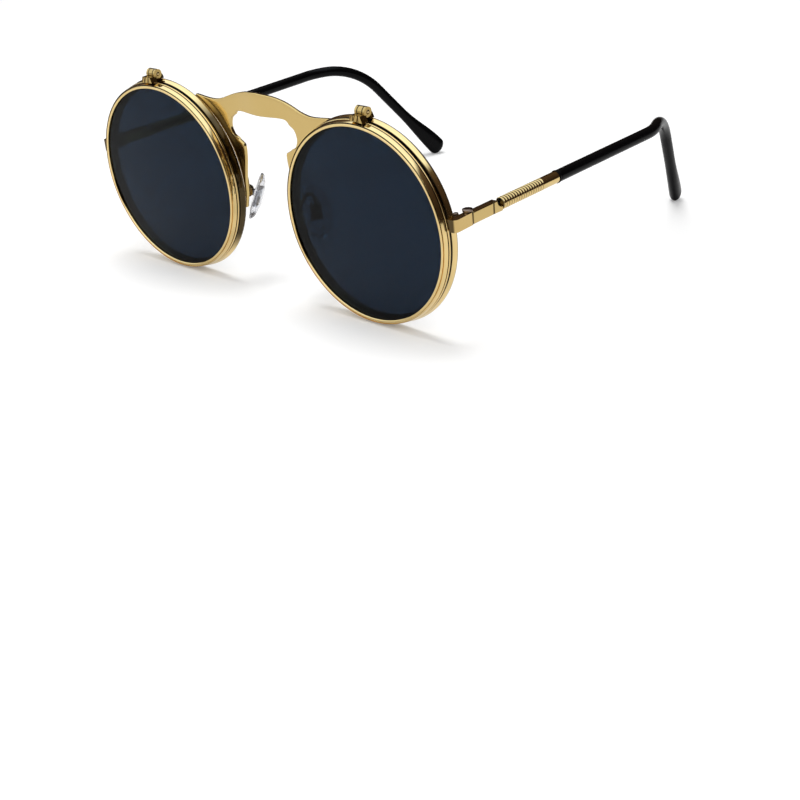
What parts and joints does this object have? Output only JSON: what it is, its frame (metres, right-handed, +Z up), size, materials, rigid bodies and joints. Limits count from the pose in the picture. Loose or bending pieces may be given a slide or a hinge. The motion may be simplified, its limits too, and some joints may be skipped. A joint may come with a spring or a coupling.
{
  "type": "steampunk glasses",
  "caption": "Round flip-up sunglasses: gold keyhole bridge, dark lens rings hinged on the rims, ribbed folding temples with black sleeves, and clear rocking nose pads.",
  "frame": {"origin": "on the table, at the middle of the bounding box's footprint", "axes": "+X to the wearer's left, +Y from the lenses back along the temples, +Z up; the glasses stand open on the rims and the temple tips"},
  "size_m": [0.1272, 0.1242, 0.0543],
  "materials": {
    "gold_metal": "polished pale gold plating",
    "screw_metal": "polished pale gold plating",
    "dark_lens": "dark tinted, gloss",
    "clear_lens": "clear, gloss",
    "black_plastic": "gloss black",
    "silicone": "clear soft gloss",
    "steel": "drawn wire"
  },
  "bodies": {
    "front": {"bridge_plate": "gold_metal", "rim_left": "gold_metal", "clear_lens_left": "clear_lens", "rim_hinge_leaf_left": "gold_metal", "end_piece_left": "gold_metal", "temple_hinge_screw_left": "screw_metal", "rim_lock_upper_left": "gold_metal", "rim_lock_lower_left": "gold_metal", "rim_lock_screw_left": "screw_metal", "pad_arm_left": "gold_metal", "pad_box_left": "gold_metal", "pad_screw_left": "screw_metal", "rim_right": "gold_metal", "clear_lens_right": "clear_lens", "rim_hinge_leaf_right": "gold_metal", "end_piece_right": "gold_metal", "temple_hinge_screw_right": "screw_metal", "rim_lock_upper_right": "gold_metal", "rim_lock_lower_right": "gold_metal", "rim_lock_screw_right": "screw_metal", "pad_arm_right": "gold_metal", "pad_box_right": "gold_metal", "pad_screw_right": "screw_metal"},
    "temple_left": {"temple_bar_left": "gold_metal", "ribbed_barrel_left": "gold_metal", "sleeve_collar_left": "black_plastic", "temple_sleeve_left": "black_plastic", "core_wire_left": "steel"},
    "flip_left": {"flip_rim_left": "gold_metal", "dark_lens_left": "dark_lens", "flip_hinge_leaf_left": "gold_metal", "flip_hinge_pin_left": "screw_metal"},
    "pad_left": {"pad_insert_left": "screw_metal", "nose_pad_left": "silicone"},
    "temple_right": {"temple_bar_right": "gold_metal", "ribbed_barrel_right": "gold_metal", "sleeve_collar_right": "black_plastic", "temple_sleeve_right": "black_plastic", "core_wire_right": "steel"},
    "flip_right": {"flip_rim_right": "gold_metal", "dark_lens_right": "dark_lens", "flip_hinge_leaf_right": "gold_metal", "flip_hinge_pin_right": "screw_metal"},
    "pad_right": {"pad_insert_right": "screw_metal", "nose_pad_right": "silicone"}
  },
  "joints": [
    {"name": "temple_fold_left", "type": "hinge", "parent": "front", "child": "temple_left", "pos_m": [0.0615, -0.05302, 0.03042], "axis": [0, -0.0512, 0.9987], "range_deg": [0, 82]},
    {"name": "temple_fold_right", "type": "hinge", "parent": "front", "child": "temple_right", "pos_m": [-0.0615, -0.05302, 0.03042], "axis": [0, 0.0512, -0.9987], "range_deg": [0, 73]},
    {"name": "lens_flip_left", "type": "hinge", "parent": "front", "child": "flip_left", "pos_m": [0.0368, -0.05933, 0.05303], "axis": [-1, 0, 0], "range_deg": [0, 90]},
    {"name": "lens_flip_right", "type": "hinge", "parent": "front", "child": "flip_right", "pos_m": [-0.0368, -0.05933, 0.05303], "axis": [-1, 0, 0], "range_deg": [0, 90]},
    {"name": "pad_rock_left", "type": "hinge", "parent": "front", "child": "pad_left", "pos_m": [0.0127, -0.05248, 0.02384], "axis": [-0.6113, -0.7884, -0.0686], "range_deg": [-8, 8]},
    {"name": "pad_rock_right", "type": "hinge", "parent": "front", "child": "pad_right", "pos_m": [-0.0127, -0.05248, 0.02384], "axis": [-0.6113, 0.7884, 0.0686], "range_deg": [-8, 8]}
  ]
}
